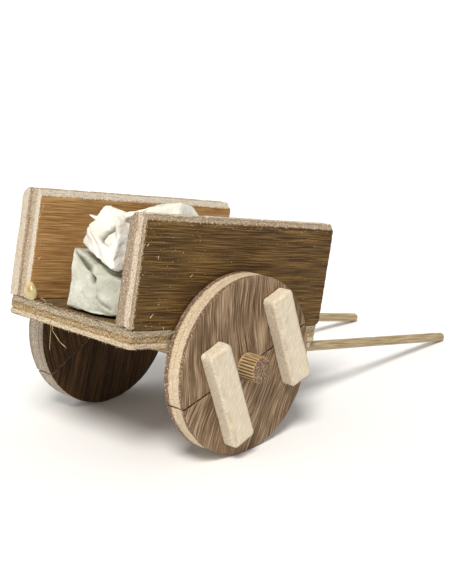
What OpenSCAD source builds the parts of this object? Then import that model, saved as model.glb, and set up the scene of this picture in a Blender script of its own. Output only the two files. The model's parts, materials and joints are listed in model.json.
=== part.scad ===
// Small wooden mine cart: an open plywood load bed on two solid wheels, pulled by
// two round handles, with a load of loose stones.
// The bed is drawn level, with its rear end at x = 0, its middle at y = 0 and the
// underside of its floor at z = 0. The wheels are drawn round the middle of the
// axle. Then the cart is tipped forward until it stands on its wheels and handle
// tips. +X is the front, where the handles are.

/* [Load bed] */
// Length of the floor board
floor_l = 103; // [92:0.5:130]
// Width of the floor board
floor_w = 64.7; // [56:0.1:80]
// Thickness of the floor board
floor_t = 6.9; // [5.5:0.1:9]
// Corner radius of the floor board
floor_corner_r = 2; // [0.5:0.1:3]
// Height of the side boards
side_h = 40.3; // [32:0.1:50]
// Thickness of the right side board
right_side_t = 8.4; // [7:0.1:11]
// Thickness of the left side board
left_side_t = 10.3; // [8:0.1:12]
// Radius of the right long edge of each side board's top
top_right_r = 3.3; // [1:0.1:3.4]
// Radius of the left long edge of each side board's top
top_left_r = 4; // [1:0.1:4.2]
// How far the side boards reach past the front of the floor
side_overhang = 1.1; // [0:0.1:4]

/* [Wheels] */
// Radius of the wheels
wheel_r = 33.3; // [27:0.1:40]
// Thickness of the wheels
wheel_t = 8.8; // [7:0.1:12]
// Smallest gap between the floor's edge and a wheel
wheel_gap = 0.3; // [0.3:0.1:3]
// Width of the open joint between a wheel's two halves
kerf = 0.6; // [0.3:0.05:1]
// Angle of the joint in the right wheel, above level
right_kerf_angle = 27.3; // [0:0.1:90]
// Angle of the joint in the left wheel, above level
left_kerf_angle = 39; // [0:0.1:90]

/* [Axle] */
// Diameter of the fluted dowel that is the axle
axle_d = 10; // [8:0.1:12]
// Distance from the rear of the floor to the axle
axle_x = 52.7; // [45:0.1:58]
// How far the axle is out of square with the bed, in degrees
axle_skew = 1.9; // [0:0.1:3]
// How far the axle stands out of each wheel
axle_out = 7.7; // [5:0.1:12]
// Clearance between the axle and a wheel's bore, on the radius
bore_clearance = 0.05; // [0.02:0.01:0.1]
// Number of flutes round the dowel
flute_count = 24; // [16:1:28]
// Radius of the tool that presses one flute
flute_r = 0.42; // [0.3:0.02:0.5]
// Length of the plain rim between the flutes and the dowel's end
axle_rim = 1.6; // [1:0.1:2.5]
// Chamfer on the dowel's ends
axle_chamfer = 0.6; // [0.2:0.1:1]

/* [Battens] */
// Width of the battens across their grain
batten_w = 10.8; // [8:0.1:12]
// Thickness of the battens
batten_t = 6; // [4:0.1:8]
// Worn bevel round a batten's outer face
batten_bevel = 0.9; // [0.3:0.1:1.5]
// Corner radius of the battens
batten_corner_r = 1.6; // [0.5:0.1:3]
// Length of the batten behind the axle
rear_batten_l = 39.8; // [32:0.1:44]
// Length of the batten ahead of the axle
front_batten_l = 37.6; // [32:0.1:44]
// Distance from the axle's middle to the middle of the rear batten
rear_batten_x = 14.5; // [13.5:0.1:16]
// Distance from the axle's middle to the middle of the front batten
front_batten_x = 19.8; // [13.5:0.1:21]
// How far the rear batten is slid down its length
rear_batten_slide = 2.8; // [-4:0.1:4]
// How far the front batten is slid down its length
front_batten_slide = -1; // [-4:0.1:4]
// How far the battens are turned from square to the wheel's joint
batten_turn = 3.2; // [-6:0.1:6]

/* [Handles] */
// Diameter of the handles
handle_d = 4; // [3:0.1:6]
// Reach of the right handle ahead of the floor
right_reach = 109.1; // [80:0.1:150]
// Reach of the left handle ahead of the floor
left_reach = 106.5; // [80:0.1:150]
// Length of each handle that is glued under the floor
handle_seat = 22; // [14:0.5:30]
// Thickness of the glue between the floor and a handle's rear end
handle_glue = 0.35; // [0.1:0.05:0.6]
// Drop of the right handle over its whole length
right_drop = 0.75; // [0:0.05:4]
// Distance from the cart's middle to the right handle, at the front of the floor
right_spread = 28.8; // [20:0.1:30]
// Distance from the cart's middle to the left handle, at the front of the floor
left_spread = 28; // [20:0.1:30]
// How far the right handle's tip leans in towards the middle
right_lean = 6.8; // [0:0.1:12]
// How far the left handle's tip leans in towards the middle
left_lean = 2.3; // [0:0.1:12]

/* [Load] */
// Gap between the stones, and between a stone and what it rests on
stone_gap = 0.3; // [0.2:0.05:0.6]
// Corner roundness of the stones
stone_r = 1.5; // [0.8:0.1:2.5]
// Height of the tall white stone above the floor
white_stone_h = 39.5; // [34:0.1:44]
// Height of the grey stone above the floor
grey_stone_h = 42; // [34:0.1:46]

/* [Glue] */
// Radius of the glue bead in the corner of the load bed
bead_r = 4; // [2.5:0.1:6]
// Width of the glue fillets beside the axle and the handles
fillet_w = 2.4; // [1.5:0.1:4]

/* [Hidden] */
$fn = 96;
big = 400;

axle_r = axle_d / 2;
axle_z = -axle_r;
// A wheel is square to the axle, so its rim comes nearest to the skewed floor.
wheel_in_y = floor_w / 2 / cos(axle_skew) + wheel_r * sin(axle_skew) + wheel_gap;
wheel_out_y = wheel_in_y + wheel_t;
axle_end_y = wheel_out_y + axle_out;

handle_r = handle_d / 2;
handle_x = floor_l - handle_seat;
handle_z = -handle_r - handle_glue;
right_tip = [floor_l + right_reach, -(right_spread - right_lean), handle_z - right_drop];
left_tip_y = left_spread - left_lean;

// Distance of a point of the bed ahead of the axle, square to the axle.
function ahead(x, y) = (x - axle_x) * cos(axle_skew) - y * sin(axle_skew);

// The cart tips forward about its axle until the right handle's round tip is on
// the ground with the wheels. The left tip drops until it is on the ground too.
tip_dx = ahead(right_tip.x, right_tip.y);
tip_dz = right_tip.z - axle_z;
tip_rise = wheel_r - handle_r;
tilt = atan(tip_dz / tip_dx) + asin(tip_rise / norm([tip_dx, tip_dz]));
left_tip_dx = ahead(floor_l + left_reach, left_tip_y);
left_tip_dz = (left_tip_dx * sin(tilt) - tip_rise) / cos(tilt);
left_tip = [floor_l + left_reach, left_tip_y, axle_z + left_tip_dz];

// The origin is on the ground, in the middle of the cart's length and width.
rear_dx = ahead(0, floor_w / 2);
rear_x = min(rear_dx * cos(tilt) - axle_z * sin(tilt), -wheel_r);
front_x = tip_dx * cos(tilt) + tip_dz * sin(tilt) + handle_r;
mid_x = (rear_x + front_x) / 2;

// Inner faces of the side boards, which bound the load.
inner_right_y = -floor_w / 2 + right_side_t;
inner_left_y = floor_w / 2 - left_side_t;

// The stone block's top slopes down to the right, and the white stone lies on it.
// Heights and places are those of the balls in the block's corners.
block_right_y = 8;
block_left_y = 34;
block_low = 15 - 2 * stone_r;
block_high = 22 - 2 * stone_r;
block_slope = atan((block_high - block_low) / (block_left_y - block_right_y));

// Height of a ball that rests on the block's sloping top.
function on_block(y) =
  block_low + (y - block_right_y) * tan(block_slope)
  + (2 * stone_r + stone_gap) / cos(block_slope);

// Places what is drawn round the middle of the axle.
module on_axle() {
  translate([-mid_x, 0, wheel_r])
    rotate([0, tilt, 0])
      children();
}

// Places what is drawn with the level bed.
module on_bed() {
  on_axle()
    rotate([0, 0, axle_skew])
      translate([-axle_x, 0, -axle_z])
        children();
}

// Rectangle from the origin along +X and +Y, with round corners.
module round_rect(size, r) {
  hull()
    for (x = [r, size.x - r], y = [r, size.y - r])
      translate([x, y]) circle(r, $fn = 48);
}

// Puts what follows at a point, with +Z turned towards another point.
module aim(from, to) {
  way = to - from;
  translate(from)
    rotate([0, acos(way.z / norm(way)), atan2(way.y, way.x)])
      children();
}

// Floor board, with its two rear corners rounded.
module floor_board() {
  r = floor_corner_r;
  w = floor_w;
  color("BurlyWood") on_bed()
    linear_extrude(floor_t)
      union() {
        for (side = [-1, 1])
          translate([r, side * (w / 2 - r)]) circle(r);
        translate([r, -w / 2]) square([floor_l - r, w]);
        translate([0, r - w / 2]) square([2 * r, w - 2 * r]);
      }
}

// Side board standing on the floor. Both long edges of its top are rounded over,
// and they share its thickness where it is too thin for their full radii.
module side_board(y, t) {
  share = min(1, (t - 0.2) / (top_right_r + top_left_r));
  right_r = top_right_r * share;
  left_r = top_left_r * share;
  on_bed()
    translate([0, y, floor_t])
      rotate([90, 0, 90])
        linear_extrude(floor_l + side_overhang)
          union() {
            translate([right_r, side_h - right_r]) circle(right_r);
            translate([t - left_r, side_h - left_r]) circle(left_r);
            square([t - left_r, side_h - right_r]);
            square([t, side_h - left_r]);
            translate([right_r, 0]) square([t - right_r - left_r, side_h]);
          }
}

module side_board_right() {
  color("Peru") side_board(-floor_w / 2, right_side_t);
}

module side_board_left() {
  color("Peru") side_board(inner_left_y, left_side_t);
}

// Fluted dowel right across the cart, plain where the wheels run on it.
module axle() {
  end = axle_end_y;
  edge = end - axle_chamfer;
  face_r = axle_r - axle_chamfer;
  color("Tan") on_axle()
    difference() {
      rotate([90, 0, 0])
        rotate_extrude()
          polygon([[0, -end], [face_r, -end], [axle_r, -edge],
                   [axle_r, edge], [face_r, end], [0, end]]);
      for (side = [-1, 1], i = [0:flute_count - 1])
        flute(side, i * 360 / flute_count);
    }
}

// Cylinder round the axle's line, centred on its middle.
module along_axle(l, r) {
  rotate([90, 0, 0]) cylinder(h = l, r = r, center = true);
}

// One flute, from the wheel's face to the plain rim.
module flute(side, angle) {
  l = axle_out - axle_rim;
  rotate([0, angle, 0])
    translate([0, side * (wheel_out_y + l / 2), axle_r + flute_r / 4])
      rotate([90, 0, 0]) cylinder(h = l, r = flute_r, center = true, $fn = 24);
}

// Round rod with a flat rear end and a round tip.
module handle(from, to) {
  l = norm(to - from);
  color("Wheat") on_bed()
    aim(from, to)
      rotate_extrude()
        union() {
          square([handle_r, l]);
          intersection() {
            translate([0, l]) circle(handle_r);
            square([handle_r, l + handle_r]);
          }
        }
}

// Rear end of a handle, on the line from its tip through its place at the
// front of the floor.
function handle_rear(tip, y) =
  let (share = handle_seat / (tip.x - floor_l))
  [handle_x, y + (y - tip.y) * share, handle_z];

module handle_right() { handle(handle_rear(right_tip, -right_spread), right_tip); }

module handle_left() { handle(handle_rear(left_tip, left_spread), left_tip); }

// One half of a wheel, on the upper (1) or the lower (-1) side of its joint.
module wheel_half(y, kerf_angle, half) {
  on_axle()
    translate([0, y, 0])
      rotate([-90, -kerf_angle, 0])
        difference() {
          cylinder(h = wheel_t, r = wheel_r, $fn = 180);
          translate([0, 0, -1])
            cylinder(h = wheel_t + 2, r = axle_r + bore_clearance);
          translate([-big / 2, half > 0 ? -kerf / 2 : -big + kerf / 2, -1])
            cube([big, big, wheel_t + 2]);
        }
}

module wheel_right_upper_half() {
  color("RosyBrown") wheel_half(-wheel_out_y, right_kerf_angle, 1);
}

module wheel_right_lower_half() {
  color("RosyBrown") wheel_half(-wheel_out_y, right_kerf_angle, -1);
}

module wheel_left_upper_half() {
  color("RosyBrown") wheel_half(wheel_in_y, left_kerf_angle, 1);
}

module wheel_left_lower_half() {
  color("RosyBrown") wheel_half(wheel_in_y, left_kerf_angle, -1);
}

// Batten across a wheel's joint, on its outer face. across is its place along
// the joint, and slide is its place down its own length.
module batten(side, kerf_angle, across, slide, l) {
  b = batten_bevel;
  color("Cornsilk") on_axle()
    translate([0, side * wheel_out_y, 0])
      rotate([0, -kerf_angle - batten_turn, 0])
        translate([across, 0, -slide])
          rotate([side > 0 ? -90 : 90, 0, 0])
            translate([-batten_w / 2, -l / 2, 0])
              hull() {
                linear_extrude(batten_t - b)
                  round_rect([batten_w, l], batten_corner_r);
                translate([b, b, 0])
                  linear_extrude(batten_t)
                    round_rect([batten_w - 2 * b, l - 2 * b], batten_corner_r);
              }
}

module batten_right_rear() {
  batten(-1, right_kerf_angle, -rear_batten_x, rear_batten_slide, rear_batten_l);
}

module batten_right_front() {
  batten(-1, right_kerf_angle, front_batten_x, front_batten_slide, front_batten_l);
}

module batten_left_rear() {
  batten(1, left_kerf_angle, -rear_batten_x, rear_batten_slide, rear_batten_l);
}

module batten_left_front() {
  batten(1, left_kerf_angle, front_batten_x, front_batten_slide, front_batten_l);
}

// Rough stone: a hull round small balls at its corners. Corners are given from
// the rear of the floor, the inner face of the right side board and the floor.
module stone(corners) {
  lift = floor_t + stone_gap + stone_r;
  on_bed()
    hull()
      for (c = corners)
        translate([c.x, inner_right_y + c.y, c.z + lift])
          sphere(stone_r, $fn = 20);
}

module stone_block() {
  low = block_low;
  high = block_high;
  near = block_right_y;
  far = block_left_y;
  color("LightGray")
    stone([
      [4, 14, 0], [4, 29, 0], [12, 35.5, 0], [24, 35, 0], [26, 8, 0], [9, near, 0],
      [3.8, 16, low], [5.5, 32, high - 2], [8, far, high], [24, far, high],
      [26, near, low], [10, near, low]
    ]);
}

// The white stone lies on the block's sloping top.
module stone_white() {
  top = white_stone_h - 2 * stone_r;
  color("White")
    stone([
      [6, 11, on_block(11)], [10, 31, on_block(31)], [24, 31, on_block(31)],
      [25, 9, on_block(9)], [7, 26.5, top - 8], [11, 23.5, top], [18, 21, top - 1],
      [8, 15, top - 4], [7, 12, top - 9], [24, 26, top - 6], [24, 12, top - 8]
    ]);
}

module stone_grey() {
  top = grey_stone_h - 2 * stone_r;
  color("Gainsboro")
    stone([
      [36, 12, 0], [35, 33, 0], [58, 35, 0], [61, 14, 0], [48, 9, 0],
      [39, 15, top - 8], [40, 34, top - 5], [52, 33, top - 2], [57, 18, top - 7],
      [46, 20, top], [54, 22, top - 1], [36, 24, top - 14]
    ]);
}

// Glue bead in the rear left corner of the load bed, on the floor and
// against the side board.
module glue_corner() {
  color("Khaki") on_bed()
    translate([bead_r * 0.9, inner_left_y, floor_t])
      difference() {
        sphere(bead_r);
        translate([-big / 2, -big / 2, -big]) cube(big);
        translate([-big / 2, 0, -big / 2]) cube(big);
      }
}

// Glue fillets along both sides of the axle, under the floor.
module glue_axle() {
  l = floor_w - 6;
  depth = axle_r * 0.6;
  color("Khaki") on_axle()
    difference() {
      translate([-axle_r - fillet_w, -l / 2, axle_r - depth])
        cube([2 * (axle_r + fillet_w), l, depth]);
      along_axle(big, axle_r);
      for (side = [-1, 1])
        translate([side * (axle_r + fillet_w), 0, axle_r - depth])
          rotate([0, 45, 0])
            cube([1.6 * fillet_w, l + 2, 1.6 * fillet_w], center = true);
    }
}

// Glue under the floor, round the rear end of one handle.
module glue_handle(tip, y) {
  rear = handle_rear(tip, y);
  l = handle_seat - 4;
  color("Khaki") on_bed()
    difference() {
      translate([floor_l - l - 2, rear.y - handle_r - fillet_w / 2, -handle_r - handle_glue])
        cube([l, handle_d + fillet_w, handle_r + handle_glue]);
      aim(rear, tip) cylinder(h = norm(tip - rear), r = handle_r);
      translate([0, -floor_w / 2 - big, -big / 2]) cube(big);
      translate([0, floor_w / 2, -big / 2]) cube(big);
    }
}

module glue_handle_right() { glue_handle(right_tip, -right_spread); }

module glue_handle_left() { glue_handle(left_tip, left_spread); }

floor_board();
side_board_right();
side_board_left();
axle();
handle_right();
handle_left();
wheel_right_upper_half();
wheel_right_lower_half();
wheel_left_upper_half();
wheel_left_lower_half();
batten_right_rear();
batten_right_front();
batten_left_rear();
batten_left_front();
stone_block();
stone_white();
stone_grey();
glue_corner();
glue_axle();
glue_handle_right();
glue_handle_left();
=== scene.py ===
# %% [markdown]
# # A small wooden mine cart
# The cart is a model made by hand from scraps of plywood, dowel and softwood, with a few
# stones as its load. The CAD gives every piece its size and place, and MuJoCo its moves.
# Here each piece gets what the saw, the glue and use left on it: worn corners, open plies,
# grain, splinters and dust. Lengths are in millimetres until a mesh is made.

# %% Load the cart's frame
import json
import math
import bpy
import numpy as np
from mathutils import Matrix, Vector


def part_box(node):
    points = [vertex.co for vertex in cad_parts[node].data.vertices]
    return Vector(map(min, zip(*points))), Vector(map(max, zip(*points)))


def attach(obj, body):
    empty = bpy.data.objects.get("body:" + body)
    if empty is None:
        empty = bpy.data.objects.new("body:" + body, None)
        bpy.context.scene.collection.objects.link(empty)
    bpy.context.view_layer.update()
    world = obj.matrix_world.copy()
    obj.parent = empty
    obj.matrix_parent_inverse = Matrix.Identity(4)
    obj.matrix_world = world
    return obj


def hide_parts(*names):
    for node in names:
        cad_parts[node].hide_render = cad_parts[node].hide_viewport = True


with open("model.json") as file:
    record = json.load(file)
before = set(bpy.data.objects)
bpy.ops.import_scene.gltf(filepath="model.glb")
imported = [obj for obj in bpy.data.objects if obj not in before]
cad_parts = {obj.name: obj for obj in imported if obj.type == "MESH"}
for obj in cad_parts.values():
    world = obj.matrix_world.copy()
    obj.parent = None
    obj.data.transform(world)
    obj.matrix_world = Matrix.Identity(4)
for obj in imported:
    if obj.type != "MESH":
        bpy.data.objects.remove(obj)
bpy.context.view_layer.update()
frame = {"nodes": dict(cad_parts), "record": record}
record = frame["record"]

# %% [markdown]
# ## Where the bed and the axle are
# The cart stands on its wheels and on the tips of its handles, so its bed slopes forward.
# The record holds the rear end's outward direction, which gives that slope and how far the
# bed is out of square with its axle. A piece is drawn level and square, and one matrix
# takes it to its place. A few small things are given where they are on the standing cart.

# %% The bed's and the wheels' places
MM = 0.001
FLOOR = (103.0, 64.7, 6.9)
RIGHT_T, LEFT_T, SIDE_H, SIDE_L = 8.4, 10.3, 40.3, 104.1
TOP_RIGHT_R, TOP_LEFT_R, LOW_FRONT_R, FLOOR_CORNER_R = 3.3, 4.0, 2.2, 2.0
AXLE_FROM_REAR, AXLE_R, AXLE_HALF, BORE_GAP = 52.7, 5.0, 50.27, 0.05
WHEEL_IN, WHEEL_T, WHEEL_R = 33.772, 8.8, 33.3
WHEEL_OUT, SAW_CUT = WHEEL_IN + WHEEL_T, 0.6
CUT_ANGLE = {"right": 27.3, "left": 39.0}
HANDLE_R, ROD_SIDES = 2.0, 36

joints = {joint["name"]: joint for joint in record["behaviour"]["joints"]}
axle_place = joints["wheel_right_spin"]["pos_m"]
rearward = record["mounts"][0]["axis"]
skew = -math.asin(rearward[1])
tilt = math.atan2(rearward[2], -rearward[0])

standing = Matrix.Scale(MM, 4)
on_axle = (
    Matrix.Translation((axle_place[0], 0, axle_place[2]))
    @ Matrix.Rotation(tilt, 4, "Y")
    @ standing
)
on_bed = (
    on_axle
    @ Matrix.Rotation(skew, 4, "Z")
    @ Matrix.Translation((-AXLE_FROM_REAR, 0, AXLE_R))
)
print(f"the bed slopes {math.degrees(tilt):.2f} degrees and is {math.degrees(skew):.2f} out of square")

# %% [markdown]
# ## Small tools
# A stage's floor, a lamp, a material and a Geometry Nodes tree all need nodes, so one
# function adds a node with its settings and its links. Colours are written as they look
# on a screen and turned to the linear light that the renderer counts in.

# %% Colours and nodes
def light_of(colour):
    """Linear RGBA of a colour such as #c8a070."""
    parts = [int(colour[i : i + 2], 16) / 255 for i in (1, 3, 5)]
    return [p / 12.92 if p < 0.04045 else ((p + 0.055) / 1.055) ** 2.4 for p in parts] + [1.0]


def add(tree, kind, sockets=(), stops=(), **settings):
    """A new node. sockets maps an input to a value, or to the output or the node that
    feeds it, and stops are a colour ramp's places and colours."""
    node = tree.nodes.new(kind)
    for name, value in settings.items():
        setattr(node, name, value)
    for name, value in dict(sockets).items():
        if isinstance(value, bpy.types.Node):
            value = next(out for out in value.outputs if out.enabled)
        if isinstance(value, bpy.types.NodeSocket):
            tree.links.new(value, node.inputs[name])
        else:
            node.inputs[name].default_value = value
    if stops:
        ramp = node.color_ramp
        for place, colour in stops[1:-1]:
            ramp.elements.new(place)
        for stop, (place, colour) in zip(ramp.elements, stops):
            stop.position, stop.color = place, light_of(colour)
    return node


def new_material(name):
    """(material, its tree, its shader) with nothing but a Principled shader."""
    material = bpy.data.materials.new(name)
    material.use_nodes = True
    tree = material.node_tree
    return material, tree, tree.nodes["Principled BSDF"]


print("white is", light_of("#ffffff"))

# %% [markdown]
# ## Floor, light and camera
# A pale sheet runs far back, so it is the whole background. Bright sky all round gives
# soft light. A stronger light from above the cart's rear and right casts soft shadows and
# brightens the sawn ends and the tops of the boards, and a weak, wide one comes from the left.

# %% Studio
def studio_floor(size=9.0):
    mesh = bpy.data.meshes.new("studio_floor")
    h = size / 2
    mesh.from_pydata([(-h, -h, 0), (h, -h, 0), (h, h, 0), (-h, h, 0)], [], [(0, 1, 2, 3)])
    sheet = bpy.data.objects.new("studio_floor", mesh)
    bpy.context.collection.objects.link(sheet)
    paper, _, shader = new_material("matt_white_paper")
    shader.inputs["Base Color"].default_value = light_of("#f8f9fb")
    shader.inputs["Roughness"].default_value = 0.9
    shader.inputs["Specular IOR Level"].default_value = 0.1
    mesh.materials.append(paper)


def soft_light(name, way_from, strength, spread, colour):
    """Light from one side of the sky, from the direction way_from, spread in degrees."""
    data = bpy.data.lights.new(name, "SUN")
    data.energy, data.angle, data.color = strength, math.radians(spread), light_of(colour)[:3]
    obj = bpy.data.objects.new(name, data)
    obj.rotation_euler = Vector(way_from).to_track_quat("Z", "Y").to_euler()
    bpy.context.collection.objects.link(obj)


studio_floor()
soft_light("window_light", (-0.6, -0.45, 1.0), 2.7, 20, "#fffaf2")
soft_light("room_light", (-0.7, 0.9, 1.0), 0.4, 70, "#fff8ee")
world = bpy.data.worlds.new("pale_room")
world.use_nodes = True
world.node_tree.nodes["Background"].inputs["Color"].default_value = light_of("#fffdfa")
world.node_tree.nodes["Background"].inputs["Strength"].default_value = 0.45
bpy.context.scene.world = world
bpy.context.scene.view_settings.view_transform = "Standard"

# %% Camera
CAMERA_AT = Vector((-0.39458225, -0.3630096, 0.19677685))
CAMERA_WAY = Vector((0.6887836, 0.6693766, -0.27840999))
CAMERA_UP = Vector((0.19824068, 0.19549058, 0.96046034))
camera_data = bpy.data.cameras.new("camera")
camera_data.lens, camera_data.sensor_width = 84.05, 36.0
camera_data.clip_start, camera_data.clip_end = 0.01, 50.0
camera = bpy.data.objects.new("camera", camera_data)
camera_right = CAMERA_WAY.cross(CAMERA_UP)
turn = Matrix((camera_right, CAMERA_UP, -CAMERA_WAY)).transposed()
camera.matrix_world = Matrix.Translation(CAMERA_AT) @ turn.to_4x4()
bpy.context.collection.objects.link(camera)
bpy.context.scene.camera = camera
print("camera", round((CAMERA_AT - Vector((0, 0, 0.04))).length, 3), "m from the cart")

# %% [markdown]
# ## Lumps, wear and relief
# Real boards are never quite flat. A smooth random field, stretched along the grain, says
# where the wood stands proud or has worn down, and it is counted in millimetres, so a
# change of a number is a change of a real size. The same seed gives the same board.

# %% Random fields
def lumps(p, size, seed):
    """Smooth random values from 0 to 1 at the points p. size is the lumps' size in mm,
    one number or one for each direction."""
    q = p / np.asarray(size, float) + seed * 7.31
    cell = np.floor(q).astype(np.int64)
    part = q - cell
    part = part * part * (3 - 2 * part)
    total = np.zeros(len(p))
    for corner in np.ndindex(2, 2, 2):
        at = cell + corner
        h = at[:, 0] * 73856093 ^ at[:, 1] * 19349663 ^ at[:, 2] * 83492791 ^ seed * 2654435
        h = ((h ^ (h >> 13)) * 1274126177) & 0x7FFFFFFF
        h ^= h >> 15
        share = np.where(corner, part, 1 - part).prod(1)
        total += share * (h & 0xFFFF) / 65535
    return total


def above(value, low, high):
    """0 below low, 1 above high, and straight between them."""
    return np.clip((value - low) / (high - low), 0, 1)


# %% Bodies cut into small faces
def marks(length, step, edge=(0.0, 0.12, 0.28, 0.5, 0.8)):
    """Places along a length: close together near its ends, where corners wear round."""
    middle = np.linspace(edge[-1], length - edge[-1], max(2, round(length / step)))
    return np.r_[edge[:-1], middle, length - np.array(edge[:-1])[::-1]]


def box_skin(xs, ys, zs):
    """(points, quads) of the surface of a box that is cut at these places."""
    shape = len(xs), len(ys), len(zs)
    ends = np.zeros(shape, bool)
    for axis in range(3):
        for end in (0, -1):
            ends[tuple(end if k == axis else slice(None) for k in range(3))] = True
    number = np.full(shape, -1)
    number[ends] = np.arange(ends.sum())
    i, j, k = np.nonzero(ends)
    points = np.stack([xs[i], ys[j], zs[k]], 1).astype(float)
    quads = []
    for axis in range(3):
        for end in (0, -1):
            s = number.take(end, axis=axis)
            q = np.stack([s[:-1, :-1], s[1:, :-1], s[1:, 1:], s[:-1, 1:]], -1).reshape(-1, 4)
            quads.append(q[:, ::-1] if (end == 0) != (axis == 1) else q)
    return points, np.concatenate(quads)


def turned(along, radius, count=ROD_SIDES):
    """(points, faces) of a closed rod along X that has this radius at each place."""
    angle = np.arange(count) / count * 2 * math.pi
    points = np.stack([np.repeat(along, count), np.outer(radius, np.cos(angle)).ravel(),
                       np.outer(radius, np.sin(angle)).ravel()], 1)
    i, j = np.meshgrid(np.arange(len(along) - 1) * count, np.arange(count), indexing="ij")
    k = (j + 1) % count
    sides = np.stack([i + j, i + k, i + count + k, i + count + j], -1).reshape(-1, 4)
    last = (len(along) - 1) * count + np.arange(count)
    return points, sides.tolist() + [list(range(count))[::-1], last.tolist()]


# %% Worn and rounded corners
def worn_round(p, size, radius):
    """Rounds a box's edges and corners. radius may differ from point to point."""
    r = np.broadcast_to(radius, (len(p),))[:, None]
    inner = np.clip(p, r, np.asarray(size) - r)
    out = p - inner
    return inner + out / np.maximum(np.linalg.norm(out, axis=1), 1e-9)[:, None] * r


def square_to_round(p, a, b, centre, radius, way):
    """Moves the square corner beyond centre, in directions a and b, onto a quarter circle."""
    d = (p[:, [a, b]] - centre) * way
    there = (d > 0).all(1)
    far, long = d[there].max(1), np.linalg.norm(d[there], axis=1)
    d[there] *= (far / np.maximum(long, 1e-9))[:, None]
    p[np.ix_(there, [a, b])] = centre + d[there] * way


def outward(points, quads):
    """Unit normals at the points."""
    a, b, c, d = (points[quads[:, k]] for k in range(4))
    face = np.cross(c - a, d - b)
    normals = np.zeros_like(points)
    for k in range(4):
        np.add.at(normals, quads[:, k], face)
    return normals / np.maximum(np.linalg.norm(normals, axis=1), 1e-12)[:, None]


# %% Meshes
def make_piece(name, points, faces, place, material, wood=None, wear=None):
    """A piece from points in mm. wood holds each point's place along the grain, through
    the plies and across the grain, and wear is 0 on sound wood and 1 where it is gone. On a
    stone, wear holds the painted shade in its creases."""
    mesh = bpy.data.meshes.new(name)
    world_points = points @ np.array(place.to_3x3()).T + np.array(place.translation)
    mesh.from_pydata(world_points.tolist(), [], [tuple(map(int, face)) for face in faces])
    along = mesh.attributes.new("wood", "FLOAT_VECTOR", "POINT")
    along.data.foreach_set("vector", np.ravel(points if wood is None else wood).astype(np.float32))
    worn = mesh.attributes.new("wear", "FLOAT", "POINT")
    worn.data.foreach_set("value", np.zeros(len(points)) if wear is None else wear)
    mesh.polygons.foreach_set("use_smooth", [True] * len(mesh.polygons))
    mesh.materials.append(material)
    mesh.update()
    piece = bpy.data.objects.new(name, mesh)
    bpy.context.collection.objects.link(piece)
    return piece


def volume_of(mesh):
    """Cubic millimetres inside a closed mesh, which are above 0 if its faces look out."""
    mesh.calc_loop_triangles()
    corners = np.array([[mesh.vertices[v].co for v in t.vertices] for t in mesh.loop_triangles])
    return (np.cross(corners[:, 0], corners[:, 1]) * corners[:, 2]).sum() / 6 / MM**3


def stands_for(piece, node):
    """The piece rides on the node's body and hides the node."""
    body = next(b for b, nodes in record["behaviour"]["bodies"].items() if node in nodes)
    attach(piece, body)
    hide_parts(node)
    low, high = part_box(node)
    corners = np.array([v.co for v in piece.data.vertices])
    grown = max(max(np.array(low) - corners.min(0)), max(corners.max(0) - np.array(high)))
    print(f"{piece.name}: {len(piece.data.polygons)} faces, {volume_of(piece.data):.0f} mm3, "
          f"{grown / MM:+.2f} mm past its solid")


# %% [markdown]
# ## Plywood
# Plywood is thin sheets of wood, glued with their grain crossed. On a face one sheet shows
# its long grain, brown from stain, hands and dirt, with thin dark pores. On a sawn edge
# every ply shows: pale wood that the stain never reached, where the fibres are cut across
# and hold dark dirt, beside plies that run along the edge. The material reads how deep a
# point lies under the face, so an edge that wears round turns pale by itself.

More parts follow.
